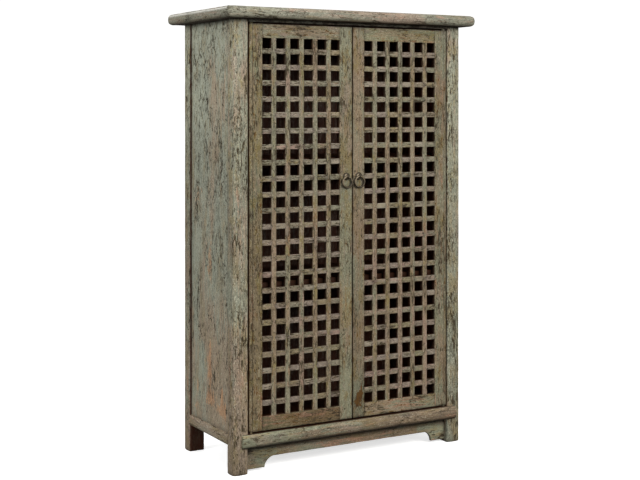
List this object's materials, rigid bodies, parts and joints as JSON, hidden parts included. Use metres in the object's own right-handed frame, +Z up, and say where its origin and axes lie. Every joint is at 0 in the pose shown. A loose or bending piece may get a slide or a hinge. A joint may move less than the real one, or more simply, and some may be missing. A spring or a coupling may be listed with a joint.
{
  "type": "cabinet",
  "caption": "Tall painted-wood cabinet on corner posts with an overhanging cap, two square-lattice doors turning on wooden pivots, ring pulls and inner shelves.",
  "frame": {"origin": "centre of the bounding box on the floor, midway across the cap's width and depth", "axes": "+Z up, +X to the right seen from the front, +Y towards the back, doors face -Y"},
  "size_m": [1.154, 0.576, 1.8],
  "materials": {
    "carcass_paint": "worn sage green paint over brown wood, matte",
    "panel_paint": "worn sage green and salmon paint over brown wood, matte",
    "door_paint": "worn olive and taupe paint over brown wood, matte",
    "lattice_paint": "worn olive, lilac and ochre paint, matte",
    "bare_interior_wood": "dark bare wood, matte",
    "dark_iron": "dark patinated iron, satin"
  },
  "bodies": {
    "carcass": {"post_front_left": "carcass_paint", "post_front_right": "carcass_paint", "post_back_left": "carcass_paint", "post_back_right": "carcass_paint", "top_rail_front": "carcass_paint", "top_rail_back": "carcass_paint", "top_rail_left": "carcass_paint", "top_rail_right": "carcass_paint", "bottom_rail_front": "carcass_paint", "bottom_rail_back": "carcass_paint", "bottom_rail_left": "carcass_paint", "bottom_rail_right": "carcass_paint", "side_panel_left": "panel_paint", "side_panel_right": "panel_paint", "back_rail_lower": "carcass_paint", "back_rail_upper": "carcass_paint", "back_panel_lower": "bare_interior_wood", "back_panel_middle": "bare_interior_wood", "back_panel_upper": "bare_interior_wood", "bottom_board": "bare_interior_wood", "apron_front": "carcass_paint", "shelf_upper": "bare_interior_wood", "shelf_lower": "bare_interior_wood", "shelf_rail_upper": "bare_interior_wood", "shelf_rail_lower": "bare_interior_wood", "shelf_cleats_upper": "bare_interior_wood", "shelf_cleats_lower": "bare_interior_wood", "cap_rail_front": "carcass_paint", "cap_rail_back": "carcass_paint", "cap_rail_left": "carcass_paint", "cap_rail_right": "carcass_paint", "cap_panel": "carcass_paint", "cap_battens": "bare_interior_wood"},
    "left_door": {"left_door_hinge_stile": "door_paint", "left_door_meeting_stile": "door_paint", "left_door_top_rail": "door_paint", "left_door_bottom_rail": "door_paint", "left_door_lattice_uprights": "lattice_paint", "left_door_lattice_crossbars": "lattice_paint", "left_pull_plate": "dark_iron", "left_pull_staple": "dark_iron"},
    "left_ring": {"left_pull_ring": "dark_iron"},
    "right_door": {"right_door_hinge_stile": "door_paint", "right_door_meeting_stile": "door_paint", "right_door_top_rail": "door_paint", "right_door_bottom_rail": "door_paint", "right_door_lattice_uprights": "lattice_paint", "right_door_lattice_crossbars": "lattice_paint", "right_pull_plate": "dark_iron", "right_pull_staple": "dark_iron"},
    "right_ring": {"right_pull_ring": "dark_iron"}
  },
  "joints": [
    {"name": "left_door_hinge", "type": "hinge", "parent": "carcass", "child": "left_door", "pos_m": [-0.4505, -0.233, 0.948], "axis": [0, 0, 1], "range_deg": [-105, 0]},
    {"name": "right_door_hinge", "type": "hinge", "parent": "carcass", "child": "right_door", "pos_m": [0.4505, -0.233, 0.948], "axis": [0, 0, 1], "range_deg": [0, 105]},
    {"name": "left_ring_swing", "type": "hinge", "parent": "left_door", "child": "left_ring", "pos_m": [-0.029, -0.254, 1.13415], "axis": [-1, 0, 0], "range_deg": [0, 105]},
    {"name": "right_ring_swing", "type": "hinge", "parent": "right_door", "child": "right_ring", "pos_m": [0.0285, -0.254, 1.13415], "axis": [-1, 0, 0], "range_deg": [0, 105]}
  ]
}
